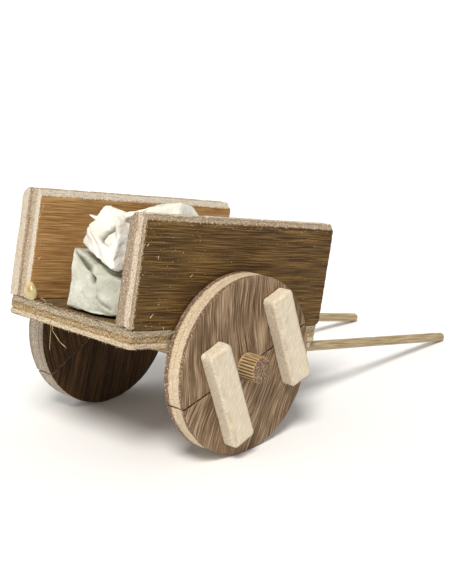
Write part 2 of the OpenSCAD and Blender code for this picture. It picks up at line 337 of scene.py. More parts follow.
# %% Plywood material
def plywood(name, thick, face, plies, streak=(12.0, 0.5), swirl=1.0, patchy=0.3, specks=0.7):
    """face is the veneer's dark, middle and light colour, plies the edge's colours with
    their places from 0 to 1, streak the length and width of a streak in mm, swirl how far
    the grain wanders in mm. patchy and specks are from 0 to 1."""
    material, tree, shader = new_material(name)
    wood = add(tree, "ShaderNodeAttribute", attribute_name="wood").outputs["Vector"]
    wear = add(tree, "ShaderNodeAttribute", attribute_name="wear").outputs["Fac"]
    drift = add(tree, "ShaderNodeTexNoise", {"Vector": wood, "Scale": 1 / 18, "Detail": 1.0})
    push = add(tree, "ShaderNodeVectorMath", {0: drift.outputs["Color"], 1: (0.5, 0.5, 0.5)},
               operation="SUBTRACT")
    sway = add(tree, "ShaderNodeVectorMath", {0: push, 1: (0, 0, swirl)}, operation="MULTIPLY")
    bent = add(tree, "ShaderNodeVectorMath", {0: wood, 1: sway})

    long, wide = streak
    cells = add(tree, "ShaderNodeVectorMath", {0: bent, 1: (1 / long, 0.4, 1 / wide)},
                operation="MULTIPLY")
    streaks = add(tree, "ShaderNodeTexNoise", {"Vector": cells, "Scale": 1.0, "Detail": 5.0,
                  "Roughness": 0.65})
    veneer = add(tree, "ShaderNodeValToRGB", {"Fac": streaks},
                 stops=((0.38, face[0]), (0.5, face[1]), (0.62, face[2])))
    cells = add(tree, "ShaderNodeVectorMath", {0: bent, 1: (1.5 / long, 0.6, 2.2 / wide)},
                operation="MULTIPLY")
    pits = add(tree, "ShaderNodeTexNoise", {"Vector": cells, "Scale": 1.0, "Detail": 2.0})
    pores = add(tree, "ShaderNodeMapRange", {"Value": pits, "From Min": 0.6, "From Max": 0.68,
                "To Max": 0.8})
    veneer = add(tree, "ShaderNodeMix", {0: pores, 6: veneer, 7: light_of(face[0])},
                 data_type="RGBA", blend_type="MULTIPLY")
    cells = add(tree, "ShaderNodeVectorMath", {0: bent, 1: (0.6 / long, 0.1, 0.07 / wide)},
                operation="MULTIPLY")
    patch = add(tree, "ShaderNodeTexNoise", {"Vector": cells, "Scale": 1.0, "Detail": 3.0})
    dark = add(tree, "ShaderNodeMapRange", {"Value": patch, "From Min": 0.48, "From Max": 0.7,
               "To Max": patchy})
    veneer = add(tree, "ShaderNodeMix", {0: dark, 6: veneer, 7: light_of(face[0])},
                 data_type="RGBA")
    pale = add(tree, "ShaderNodeMapRange", {"Value": patch, "From Min": 0.45, "From Max": 0.3,
               "To Max": patchy})
    veneer = add(tree, "ShaderNodeMix", {0: pale, 6: veneer, 7: light_of(face[2])},
                 data_type="RGBA")

    _, through, _ = add(tree, "ShaderNodeSeparateXYZ", {0: wood}).outputs[:3]
    coarse = add(tree, "ShaderNodeTexNoise", {"Vector": wood, "Scale": 1 / 1.6, "Detail": 3.0,
                 "Roughness": 0.65})
    jitter = add(tree, "ShaderNodeMath", {0: coarse, 1: 0.5}, operation="SUBTRACT")
    share = add(tree, "ShaderNodeMath", {0: through, 1: thick}, operation="DIVIDE")
    share = add(tree, "ShaderNodeMath", {0: jitter, 1: 0.14, 2: share}, operation="MULTIPLY_ADD")
    edge = add(tree, "ShaderNodeValToRGB", {"Fac": share}, stops=plies)
    cells = add(tree, "ShaderNodeVectorMath", {0: wood, 1: (1 / 3, 1 / 0.35, 1 / 3)},
                operation="MULTIPLY")
    fibres = add(tree, "ShaderNodeTexNoise", {"Vector": cells, "Scale": 1.0, "Detail": 4.0,
                 "Roughness": 0.7})
    lines = add(tree, "ShaderNodeMapRange", {"Value": fibres, "From Min": 0.6, "From Max": 0.4,
                "To Max": 0.6 * specks})
    edge = add(tree, "ShaderNodeMix", {0: lines, 6: edge, 7: light_of("#8a7357")},
               data_type="RGBA", blend_type="MULTIPLY")
    crumbs = add(tree, "ShaderNodeTexNoise", {"Vector": wood, "Scale": 1 / 0.6, "Detail": 4.0,
                 "Roughness": 0.75})
    holes = add(tree, "ShaderNodeMapRange", {"Value": crumbs, "From Min": 0.54,
                "From Max": 0.62, "To Max": specks})
    edge = add(tree, "ShaderNodeMix", {0: holes, 6: edge, 7: light_of("#4d3822")},
               data_type="RGBA")
    fluff = add(tree, "ShaderNodeMapRange", {"Value": crumbs, "From Min": 0.46,
                "From Max": 0.36, "To Max": 0.75})
    edge = add(tree, "ShaderNodeMix", {0: fluff, 6: edge, 7: light_of("#f3e8d3")},
               data_type="RGBA")

    back = add(tree, "ShaderNodeMath", {0: thick, 1: through}, operation="SUBTRACT")
    depth = add(tree, "ShaderNodeMath", {0: through, 1: back}, operation="MINIMUM")
    depth = add(tree, "ShaderNodeMath", {0: jitter, 1: 0.8, 2: depth}, operation="MULTIPLY_ADD")
    skin = add(tree, "ShaderNodeMapRange", {"Value": depth, "From Min": 0.3, "From Max": 0.12})
    sound = add(tree, "ShaderNodeMapRange", {"Value": wear, "From Min": 0.6, "From Max": 0.25})
    skin = add(tree, "ShaderNodeMath", {0: skin, 1: sound}, operation="MULTIPLY")
    colour = add(tree, "ShaderNodeMix", {0: skin, 6: edge, 7: veneer}, data_type="RGBA")
    tree.links.new(colour.outputs[2], shader.inputs["Base Color"])
    shader.inputs["Roughness"].default_value = 0.8
    shader.inputs["Specular IOR Level"].default_value = 0.3
    height = add(tree, "ShaderNodeMix", {0: skin, 2: crumbs, 3: streaks})
    height = add(tree, "ShaderNodeMath", {0: pores, 1: -0.5, 2: height},
                 operation="MULTIPLY_ADD")
    bump = add(tree, "ShaderNodeBump", {"Height": height, "Strength": 0.6,
               "Distance": 0.35 * MM})
    tree.links.new(bump.outputs["Normal"], shader.inputs["Normal"])
    return material


# %% The four kinds of plywood
near_plywood = plywood(
    "stained_plywood_right_board", RIGHT_T, ("#33200a", "#5c421c", "#8a6a38"),
    ((0.0, "#b8a389"), (0.15, "#ab9880"), (0.2, "#8d7a60"), (0.25, "#dacab4"),
     (0.52, "#dfd0bb"), (0.6, "#a8957f"), (1.0, "#a3907a")), streak=(24.0, 0.4), patchy=0.35,
    specks=0.6)
far_plywood = plywood(
    "stained_plywood_left_board", LEFT_T, ("#8c6230", "#b78b57", "#cfa972"),
    ((0.0, "#e0d8c8"), (0.2, "#dacfbb"), (0.26, "#c0af98"), (0.46, "#b8a68d"),
     (0.52, "#967c62"), (0.62, "#a28a70"), (0.7, "#d7ccb9"), (1.0, "#cec2ae")),
    streak=(22.0, 0.4), patchy=0.2, specks=0.4)
floor_plywood = plywood(
    "worn_plywood_floor", FLOOR[2], ("#4a3519", "#6d5738", "#8d7450"),
    ((0.0, "#d8c8ac"), (0.26, "#d5c4a8"), (0.32, "#9c8257"), (0.4, "#b9a172"),
     (0.62, "#94794d"), (0.68, "#b5a68b"), (1.0, "#a99b84")), specks=0.7)
WHEEL_EDGE = ((0.0, "#6d5039"), (0.15, "#8a6b54"), (0.2, "#e2d0b2"), (0.5, "#dfcbac"),
              (0.52, "#b89c7a"), (0.54, "#e2cfb0"), (0.73, "#d9c4a5"), (0.79, "#86664f"),
              (1.0, "#745741"))
wheel_plywood = plywood("bare_plywood_right_wheel", WHEEL_T, ("#49321d", "#846b50", "#c0a88b"),
                        WHEEL_EDGE, streak=(17.0, 0.42), swirl=5.0, patchy=0.65, specks=0.4)
# The far wheel's face colours are painted shade. Its inner face lies in the shadow under the bed, so
# its veneer is drawn much darker than the near wheel's. The plies on its rim keep the wood's own
# colours.
far_wheel_shade_plywood = plywood(
    "plywood_left_wheel_painted_shade", WHEEL_T, ("#2b1b0c", "#463018", "#684b2b"),
    ((0.0, "#8a7a6a"), (0.3, "#b9ac9c"), (0.62, "#b3a595"), (0.68, "#6d5a66"), (0.74, "#b7a998"),
     (1.0, "#a08f7c")), streak=(26.0, 0.5), swirl=0.5, specks=0.35)
print("plywood for two boards, a floor and two wheels")

# %% [markdown]
# ## Boards
# A board is a box that is cut into small quads, so that its surface can be pushed in and
# out. The long edges of a side board's top were rounded over with sandpaper, which bares
# the plies there. The face has shallow grooves along the grain, and the sawn edges are
# rough, with torn fibres and the middle ply worn back.

# %% Side boards
def weathered(p, faces, wood, thick, seed, groove=0.2, rough=0.35):
    """Pushes a board's surface in and out along its normals."""
    n = outward(p, faces)
    under = np.minimum(wood[:, 1], thick - wood[:, 1])
    face = above(-under, -0.4, -0.05)
    furrows = above(lumps(wood, (8.0, 5.0, 0.75), seed), 0.55, 0.9) * groove
    swell = (lumps(wood, (34.0, 20.0, 11.0), seed + 1) - 0.6) * 0.3
    pits = above(lumps(wood, (0.9, 0.7, 0.9), seed + 2), 0.5, 0.95) * rough
    torn = above(lumps(wood, (5.0, 1.2, 5.0), seed + 3), 0.55, 0.95) * rough * 1.2
    middle = above(0.24 - np.abs(wood[:, 1] / thick - 0.48), 0, 0.06) * 0.16
    push = face * (swell - furrows) - (1 - face) * (pits + torn + middle)
    return p + n * np.minimum(push, 0.08)[:, None]


def side_board(name, y, thick, material, seed, node):
    """The board's places are along, through and up. y is where its right face is."""
    p, faces = box_skin(marks(SIDE_L, 1.0), marks(thick, 0.4), marks(SIDE_H, 0.5))
    wear = 0.2 + 0.6 * lumps(p, 6.0, seed + 9) ** 2
    p = worn_round(p, (SIDE_L, thick, SIDE_H), wear)
    for a, radius, middle, way in (
        (1, TOP_RIGHT_R, (TOP_RIGHT_R, SIDE_H - TOP_RIGHT_R), (-1, 1)),
        (1, TOP_LEFT_R, (thick - TOP_LEFT_R, SIDE_H - TOP_LEFT_R), (1, 1)),
        (0, LOW_FRONT_R, (SIDE_L - LOW_FRONT_R, LOW_FRONT_R), (1, -1)),
    ):
        square_to_round(p, a, 2, np.array(middle), radius, np.array(way))
    wood = p.copy()
    p = weathered(p, faces, wood, thick, seed, groove=0.15)
    piece = make_piece(name, p + (0, y, FLOOR[2]), faces, on_bed, material, wood)
    stands_for(piece, node)


side_board("right_side_board", -FLOOR[1] / 2, RIGHT_T, near_plywood, 3, "side_board_right")
side_board("left_side_board", FLOOR[1] / 2 - LEFT_T, LEFT_T, far_plywood, 21, "side_board_left")

# %% Floor board
def floor_of_bed():
    length, width, thick = FLOOR
    p, faces = box_skin(marks(length, 1.0), marks(width, 0.6), marks(thick, 0.35))
    p = worn_round(p, FLOOR, 0.3 + 0.9 * lumps(p, 7.0, 31) ** 2)
    r = FLOOR_CORNER_R
    for y, way in ((r, (-1, -1)), (width - r, (-1, 1))):
        square_to_round(p, 0, 1, np.array((r, y)), r, np.array(way))
    wood = p[:, [0, 2, 1]]
    # The rear edge was broken off along part of the top ply.
    chip = above(7.5 - np.abs(p[:, 1] - 12.5) - 3 * lumps(p, 3.0, 37), 0, 2)
    chip *= above(2.6 + 2 * lumps(p, 2.0, 38) - p[:, 0], 0, 1.2) * above(p[:, 2], 3.5, 6.0)
    p = weathered(p, faces, wood, thick, 33, groove=0.15, rough=0.6)
    p[:, 2] -= chip * 0.7
    piece = make_piece("bed_floor", p - (0, width / 2, 0), faces, on_bed, floor_plywood, wood,
                       chip)
    stands_for(piece, "floor_board")


floor_of_bed()

# %% [markdown]
# ## Wheels
# Each wheel is two half discs, sawn apart through the axle. A half disc is a box that has
# been bent: its first direction runs round the wheel, its second from the bore to the rim
# and its third through the plies, so the tools for boards work here too.

# %% Wheel halves
def wheel_half(name, y, cut_angle, half, grain_angle, seed, node):
    """half is 1 above the saw cut and -1 below it. grain_angle is in degrees."""
    bore = AXLE_R + BORE_GAP
    round_l, deep = WHEEL_R * math.pi, WHEEL_R - bore
    p, faces = box_skin(marks(round_l, 0.9), marks(deep, 0.8), marks(WHEEL_T, 0.4))
    p = worn_round(p, (round_l, deep, WHEEL_T), 0.15 + 0.4 * lumps(p, 5.0, seed) ** 2)
    r = bore + p[:, 1]
    start = np.arcsin(SAW_CUT / 2 / r)
    angle = start + p[:, 0] / round_l * (math.pi - 2 * start)
    u, w = r * np.cos(angle), r * np.sin(angle) * half
    points = np.stack([u, p[:, 2] + y, w], 1)
    if half < 0:
        faces = faces[:, ::-1]
    c, s = math.cos(math.radians(grain_angle)), math.sin(math.radians(grain_angle))
    through = WHEEL_T - p[:, 2] if y > 0 else p[:, 2]
    wood = np.stack([u * c + w * s, through, w * c - u * s], 1) + (0, 0, seed * 3.7)
    points = weathered(points, faces, wood, WHEEL_T, seed + 5, groove=0.12, rough=0.14)
    place = on_axle @ Matrix.Rotation(-math.radians(cut_angle), 4, "Y")
    # The far wheel takes the plywood that has painted shade on its faces.
    material = far_wheel_shade_plywood if y > 0 else wheel_plywood
    piece = make_piece(name, points, faces, place, material, wood)
    stands_for(piece, node)


for side, y in (("right", -WHEEL_OUT), ("left", WHEEL_IN)):
    for half, word in ((1, "upper"), (-1, "lower")):
        wheel_half(f"{side}_wheel_{word}_half", y, CUT_ANGLE[side], half, 62 + 14 * half,
                   41 + 7 * half + (y > 0) * 3, f"wheel_{side}_{word}_half")

# %% [markdown]
# ## Battens
# Two strips of pale softwood hold each wheel's halves together. They were cut with a knife:
# their corners are a little round, the edges of the outer face are bevelled, and the bevels
# are rubbed dark in places.

# %% Batten wood
def softwood():
    """Bare pine or lime, sawn across and hardly sanded: pale, matt, faint saw marks."""
    material, tree, shader = new_material("bare_softwood")
    wood = add(tree, "ShaderNodeAttribute", attribute_name="wood").outputs["Vector"]
    wear = add(tree, "ShaderNodeAttribute", attribute_name="wear").outputs["Fac"]
    slanted = add(tree, "ShaderNodeMapping", {"Vector": wood, "Rotation": (0, 0.75, 0)})
    cells = add(tree, "ShaderNodeVectorMath", {0: slanted, 1: (1 / 5, 1, 1 / 0.45)},
                operation="MULTIPLY")
    saw = add(tree, "ShaderNodeTexNoise", {"Vector": cells, "Scale": 1.0, "Detail": 3.0,
              "Roughness": 0.6})
    base = add(tree, "ShaderNodeValToRGB", {"Fac": saw},
               stops=((0.3, "#c6b8a0"), (0.5, "#d9cdb8"), (0.7, "#ece3d0")))
    cloud = add(tree, "ShaderNodeTexNoise", {"Vector": wood, "Scale": 1 / 7, "Detail": 3.0})
    warm = add(tree, "ShaderNodeMapRange", {"Value": cloud, "From Min": 0.45, "From Max": 0.7,
               "To Max": 0.4})
    tinted = add(tree, "ShaderNodeMix", {0: warm, 6: base, 7: light_of("#dccba8")},
                 data_type="RGBA")
    dots = add(tree, "ShaderNodeTexNoise", {"Vector": wood, "Scale": 1 / 0.5, "Detail": 3.0,
               "Roughness": 0.7})
    dark = add(tree, "ShaderNodeMapRange", {"Value": dots, "From Min": 0.63, "From Max": 0.72,
               "To Max": 0.6})
    spotted = add(tree, "ShaderNodeMix", {0: dark, 6: tinted, 7: light_of("#8a7860")},
                  data_type="RGBA")
    rubbed = add(tree, "ShaderNodeMix", {0: wear, 6: spotted, 7: light_of("#ab9875")},
                 data_type="RGBA")
    tree.links.new(rubbed.outputs[2], shader.inputs["Base Color"])
    shader.inputs["Roughness"].default_value = 0.82
    shader.inputs["Specular IOR Level"].default_value = 0.3
    rise = add(tree, "ShaderNodeMath", {0: saw, 1: dots})
    bump = add(tree, "ShaderNodeBump", {"Height": rise, "Strength": 0.5, "Distance": 0.2 * MM})
    tree.links.new(bump.outputs["Normal"], shader.inputs["Normal"])
    return material


batten_wood = softwood()
print(batten_wood.name, "has", len(batten_wood.node_tree.nodes), "nodes")

# %% Battens
def batten(name, side, cut_angle, across, slide, length, seed, node):
    """across and slide place it over and along the saw cut, from which it is turned a little."""
    width, thick, bevel, radius, off_cut = 10.8, 6.0, 0.9, 1.6, 3.2
    p, faces = box_skin(marks(width, 0.45), marks(thick, 0.45), marks(length, 0.6))
    p = worn_round(p, (width, thick, length), 0.15 + 0.35 * lumps(p, 4.0, seed))
    for x, way_x in ((radius, -1), (width - radius, 1)):
        for z, way_z in ((radius, -1), (length - radius, 1)):
            square_to_round(p, 0, 2, np.array((x, z)), radius, np.array((way_x, way_z)))
    wood = p + (0, seed * 3.0, 0)
    # The bevel draws the outline in over the last of the thickness.
    inset = above(p[:, 1], thick - bevel, thick) * bevel
    rim = np.minimum(np.minimum(p[:, 0], width - p[:, 0]), np.minimum(p[:, 2], length - p[:, 2]))
    half = np.array([width / 2, length / 2])
    p[:, [0, 2]] = (p[:, [0, 2]] - half) * (1 - inset[:, None] / half)
    rubbed = above(inset, 0.15, 0.5) * above(1.3 - rim, 0, 0.8)
    rubbed *= above(lumps(wood, (2.0, 2.0, 3.0), seed + 2), 0.3, 0.7)
    push = (lumps(wood, (6.0, 6.0, 14.0), seed + 3) - 0.75) * 0.35
    push -= above(lumps(wood, (0.8, 0.8, 1.6), seed + 4), 0.55, 0.95) * 0.14
    p = p + outward(p, faces) * np.minimum(push, 0.02)[:, None]
    p[:, 1] = side * (p[:, 1] + WHEEL_OUT)
    if side < 0:
        faces = faces[:, ::-1]
    place = on_axle @ Matrix.Rotation(-math.radians(cut_angle + off_cut), 4, "Y")
    place = place @ Matrix.Translation((across, 0, -slide))
    piece = make_piece(name, p, faces, place, batten_wood, wood, rubbed * 0.35)
    stands_for(piece, node)


for side, word in ((-1, "right"), (1, "left")):
    batten(f"{word}_rear_batten", side, CUT_ANGLE[word], -14.5, 2.8, 39.8, 60 + side,
           f"batten_{word}_rear")
    batten(f"{word}_front_batten", side, CUT_ANGLE[word], 19.8, -1.0, 37.6, 64 + side,
           f"batten_{word}_front")

# %% [markdown]
# ## Fluted dowel
# The axle is a stock fluted dowel of beech. Its ribs repeat round it, so Geometry Nodes
# draws them: each point of a rod is drawn in by a wave that has as many crests as the dowel
# has ribs. The ribs fade out under the wheels, where the bore has rubbed them flat, and
# before the sawn end, which is crushed and torn.

# %% Dowel material
def beech():
    """Beech, rolled through a fluting tool: pale crests, grooves painted dark as shade, and an
    end grain of fine dark pores."""
    material, tree, shader = new_material("fluted_beech_dowel")
    wood = add(tree, "ShaderNodeAttribute", attribute_name="wood").outputs["Vector"]
    wear = add(tree, "ShaderNodeAttribute", attribute_name="wear").outputs["Fac"]
    cells = add(tree, "ShaderNodeVectorMath", {0: wood, 1: (1 / 0.5, 1 / 6, 1 / 0.5)},
                operation="MULTIPLY")
    fibre = add(tree, "ShaderNodeTexNoise", {"Vector": cells, "Scale": 1.0, "Detail": 4.0})
    crest = add(tree, "ShaderNodeValToRGB", {"Fac": fibre},
                stops=((0.3, "#a38153"), (0.5, "#bea175"), (0.7, "#dcc8a2")))
    # Painted shade: the wear attribute holds how deep a point lies in a groove, and the grooves are
    # mixed to deep brown.
    marked_colour = add(tree, "ShaderNodeMix", {0: wear, 6: crest, 7: light_of("#4a3014")},
                data_type="RGBA")
    _, along, _ = add(tree, "ShaderNodeSeparateXYZ", {0: wood}).outputs[:3]
    out = add(tree, "ShaderNodeMath", {0: along}, operation="ABSOLUTE")
    end = add(tree, "ShaderNodeMapRange", {"Value": out, "From Min": 49.95, "From Max": 50.1})
    pores = add(tree, "ShaderNodeTexNoise", {"Vector": wood, "Scale": 1 / 0.55, "Detail": 3.0,
                "Roughness": 0.65})
    grainy = add(tree, "ShaderNodeValToRGB", {"Fac": pores},
                 stops=((0.34, "#3d2716"), (0.5, "#7a604b"), (0.64, "#b39a80")))
    full = add(tree, "ShaderNodeMix", {0: end, 6: marked_colour, 7: grainy}, data_type="RGBA")
    tree.links.new(full.outputs[2], shader.inputs["Base Color"])
    shader.inputs["Roughness"].default_value = 0.75
    bump = add(tree, "ShaderNodeBump", {"Height": pores, "Strength": 0.4,
               "Distance": 0.2 * MM})
    tree.links.new(bump.outputs["Normal"], shader.inputs["Normal"])
    return material


dowel_wood = beech()
print(dowel_wood.name, "has", len(dowel_wood.node_tree.nodes), "nodes")

# %% Trees that grow a mesh
def node_tree(name, inputs):
    """A new Geometry Nodes tree with a geometry in and out and these named inputs."""
    tree = bpy.data.node_groups.new(name, "GeometryNodeTree")
    face = tree.interface
    face.new_socket("Geometry", in_out="INPUT", socket_type="NodeSocketGeometry")
    for label, kind, value in inputs:
        face.new_socket(label, in_out="INPUT", socket_type=kind).default_value = value
    face.new_socket("Geometry", in_out="OUTPUT", socket_type="NodeSocketGeometry")
    return tree, tree.nodes.new("NodeGroupInput").outputs, tree.nodes.new("NodeGroupOutput")


def finished(tree, geometry, given, result):
    """The tree's last nodes: real faces, the material and the way out."""
    whole = add(tree, "GeometryNodeRealizeInstances", {"Geometry": geometry})
    dressed = add(tree, "GeometryNodeSetMaterial", {"Geometry": whole,
                  "Material": given["Material"]})
    tree.links.new(dressed.outputs[0], result.inputs[0])


def grown(name, tree, material, mesh, place, values=()):
    """Runs the tree on the mesh, in mm, and returns a piece with the result."""
    piece = bpy.data.objects.new(name, mesh)
    bpy.context.collection.objects.link(piece)
    modifier = piece.modifiers.new("grow", "NODES")
    modifier.node_group = tree
    given = dict(values, Material=material)
    for item in tree.interface.items_tree:
        if item.in_out == "INPUT" and item.name in given:
            modifier[item.identifier] = given[item.name]
    ready = piece.evaluated_get(bpy.context.evaluated_depsgraph_get())
    made = bpy.data.meshes.new_from_object(ready)
    piece.modifiers.remove(modifier)
    piece.data = made
    made.transform(place)
    return piece


# %% Dowel by Geometry Nodes
def dowel_tree():
    tree, given, result = node_tree("fluted_dowel", (
        ("Half Length", "NodeSocketFloat", AXLE_HALF), ("Radius", "NodeSocketFloat", AXLE_R),
        ("Ribs", "NodeSocketFloat", 24.0), ("Groove", "NodeSocketFloat", 0.09),
        ("Worn To", "NodeSocketFloat", 42.4), ("Rim From", "NodeSocketFloat", 50.1),
        ("Material", "NodeSocketMaterial", None)))
    depth = add(tree, "ShaderNodeMath", {0: given["Half Length"], 1: 2.0}, operation="MULTIPLY")
    rod = add(tree, "GeometryNodeMeshCylinder", {"Vertices": 192, "Side Segments": 130,
              "Fill Segments": 9, "Radius": given["Radius"], "Depth": depth})
    place = add(tree, "GeometryNodeInputPosition")
    x, y, z = add(tree, "ShaderNodeSeparateXYZ", {0: place}).outputs[:3]
    out = add(tree, "ShaderNodeMath", {0: z}, operation="ABSOLUTE")
    angle = add(tree, "ShaderNodeMath", {0: y, 1: x}, operation="ARCTAN2")
    turns = add(tree, "ShaderNodeMath", {0: angle, 1: given["Ribs"]}, operation="MULTIPLY")
    wave = add(tree, "ShaderNodeMath", {0: turns}, operation="COSINE")
    half_wave = add(tree, "ShaderNodeMath", {0: wave, 1: -0.5, 2: 0.5}, operation="MULTIPLY_ADD")
    valley = add(tree, "ShaderNodeMath", {0: half_wave, 1: 1.6}, operation="POWER")
    from_wheel = add(tree, "ShaderNodeMath", {0: out, 1: given["Worn To"]},
                     operation="SUBTRACT")
    to_rim = add(tree, "ShaderNodeMath", {0: given["Rim From"], 1: out}, operation="SUBTRACT")
    nearer = add(tree, "ShaderNodeMath", {0: from_wheel, 1: to_rim}, operation="MINIMUM")
    ribbed = add(tree, "ShaderNodeMapRange", {"Value": nearer, "From Max": 0.6})
    # How deep each point lies in a groove. It draws the groove in, and it is also stored for the
    # material to paint as shade in the groove.
    groove_and_shade = add(tree, "ShaderNodeMath", {0: valley, 1: ribbed}, operation="MULTIPLY")
    drawn_in = add(tree, "ShaderNodeMath", {0: groove_and_shade, 1: given["Groove"]}, operation="MULTIPLY")
    share = add(tree, "ShaderNodeMath", {0: 1.0, 1: drawn_in}, operation="SUBTRACT")
    size = add(tree, "ShaderNodeCombineXYZ", {0: share, 1: share, 2: 1.0})
    moved = add(tree, "ShaderNodeVectorMath", {0: place, 1: size}, operation="MULTIPLY")
    # The groove depth is stored as wear. The material paints it as shade.
    marked = add(tree, "GeometryNodeStoreNamedAttribute", {"Geometry": rod, "Name": "wear",
                 "Value": groove_and_shade}, data_type="FLOAT", domain="POINT")
    shaped = add(tree, "GeometryNodeSetPosition", {"Geometry": marked, "Position": moved})
    smooth = add(tree, "GeometryNodeSetShadeSmooth", {"Geometry": shaped})
    finished(tree, smooth, given, result)
    return tree


dowel = grown("axle_dowel", dowel_tree(), dowel_wood, bpy.data.meshes.new("rod"),
              Matrix.Rotation(math.radians(-90), 4, "X"))

# %% The dowel's worn ends
def wear_dowel(piece):
    """Crushes the ends, tears the ribs and leaves saw marks and a broken step."""
    mesh = piece.data
    p = np.array([v.co for v in mesh.vertices])
    wood, out = p.copy(), np.abs(p[:, 1])
    crushed = above(out, AXLE_HALF - 0.7, AXLE_HALF) * 0.07
    torn = above(out, 42.4, 43) * above(lumps(p, (1.2, 2.5, 1.2), 52), 0.45, 1) * 0.05
    p[:, [0, 2]] *= (1 - crushed - torn)[:, None]
    step = above(wood[:, 0] + 0.25 * wood[:, 2], -1.5, -1.1) * 0.45
    saw = 0.08 * np.sin(wood[:, 0] * 6.5) + 0.3 * lumps(wood, 1.1, 53)
    at_end = above(out, AXLE_HALF - 0.01, AXLE_HALF)
    p[:, 1] -= np.sign(p[:, 1]) * at_end * np.maximum(step + saw, 0)
    mesh.vertices.foreach_set("co", p.ravel())
    along = mesh.attributes.new("wood", "FLOAT_VECTOR", "POINT")
    along.data.foreach_set("vector", wood.ravel().astype(np.float32))
    mesh.transform(on_axle)
    stands_for(piece, "axle")


wear_dowel(dowel)

# %% [markdown]
# ## Handles
# Two bare round dowels, 4 mm thick, run forward from under the floor. They are rarely quite
# straight, so each is a row of rings that wander by a tenth of a millimetre, and the tip is
# rubbed round.

# %% Handle wood
def dowel_rod():
    """Bare birch dowel, handled until it is slightly glossy, with a long fine grain."""
    material, tree, shader = new_material("bare_birch_rod")
    wood = add(tree, "ShaderNodeAttribute", attribute_name="wood").outputs["Vector"]
    cells = add(tree, "ShaderNodeVectorMath", {0: wood, 1: (1 / 14, 1 / 0.5, 1 / 0.5)},
                operation="MULTIPLY")
    fibre = add(tree, "ShaderNodeTexNoise", {"Vector": cells, "Scale": 1.0, "Detail": 5.0,
                "Roughness": 0.6})
    base = add(tree, "ShaderNodeValToRGB", {"Fac": fibre},
               stops=((0.3, "#7e6946"), (0.5, "#a8936e"), (0.7, "#cabb9b")))
    cloud = add(tree, "ShaderNodeTexNoise", {"Vector": wood, "Scale": 1 / 12, "Detail": 2.0})
    grime = add(tree, "ShaderNodeMapRange", {"Value": cloud, "From Min": 0.5, "From Max": 0.72,
                "To Max": 0.6})
    marked_colour = add(tree, "ShaderNodeMix", {0: grime, 6: base, 7: light_of("#a38c66")},
                data_type="RGBA")
    tree.links.new(marked_colour.outputs[2], shader.inputs["Base Color"])
    shader.inputs["Roughness"].default_value = 0.6
    bump = add(tree, "ShaderNodeBump", {"Height": fibre, "Strength": 0.35,
               "Distance": 0.15 * MM})
    tree.links.new(bump.outputs["Normal"], shader.inputs["Normal"])
    return material


rod_wood = dowel_rod()
print(rod_wood.name, "has", len(rod_wood.node_tree.nodes), "nodes")

# %% Handles
def handle(name, rear, tip, seed, node):
    rear, tip = np.array(rear), np.array(tip)
    length = np.linalg.norm(tip - rear)
    way = (tip - rear) / length
    side = np.cross((0, 0, 1.0), way)
    side /= np.linalg.norm(side)
    frame_of_rod = np.stack([way, side, np.cross(way, side)])
    round_tip = np.radians(np.linspace(0, 84, 9))[1:]
    t = np.r_[0, 0.15, np.linspace(0.4, length, 120), length + HANDLE_R * np.sin(round_tip)]
    radius = np.r_[1.8, 1.95, np.full(120, HANDLE_R), HANDLE_R * np.cos(round_tip)]
    ring, faces = turned(t, radius)
    wood = ring + (seed * 30, 0, 0)
    dents = 1 - above(lumps(wood, (5.0, 1.2, 1.2), seed + 1), 0.6, 1) * 0.06
    ring[:, 1:] *= dents[:, None]
    drift = (lumps(wood * (1, 0, 0), 22.0, seed) - 0.5) * 0.28
    along = t.repeat(ROD_SIDES)
    ring[:, 1] += drift * above(along, 24, 40) * above(length - along, 0, 12)
    piece = make_piece(name, rear + ring @ frame_of_rod, faces, on_bed, rod_wood, wood)
    stands_for(piece, node)


handle("right_handle", (81.0, -30.1712, -2.35), (212.1, -22.0, -3.1), 71, "handle_right")
handle("left_handle", (81.0, 28.4751, -2.35), (209.5, 25.7, -3.9853), 75, "handle_left")

# %% [markdown]
# ## Stones
# The load is three broken stones. The CAD gives each one's outer planes. Here a copy of
# that solid is cut into a fine, even net, struck back to flat planes as a hammer does,
# flaked, creased where the stone split, and roughened. Nothing is pushed outwards, so the
# stones still clear each other. Only the white one has more: two short, blunt spurs.

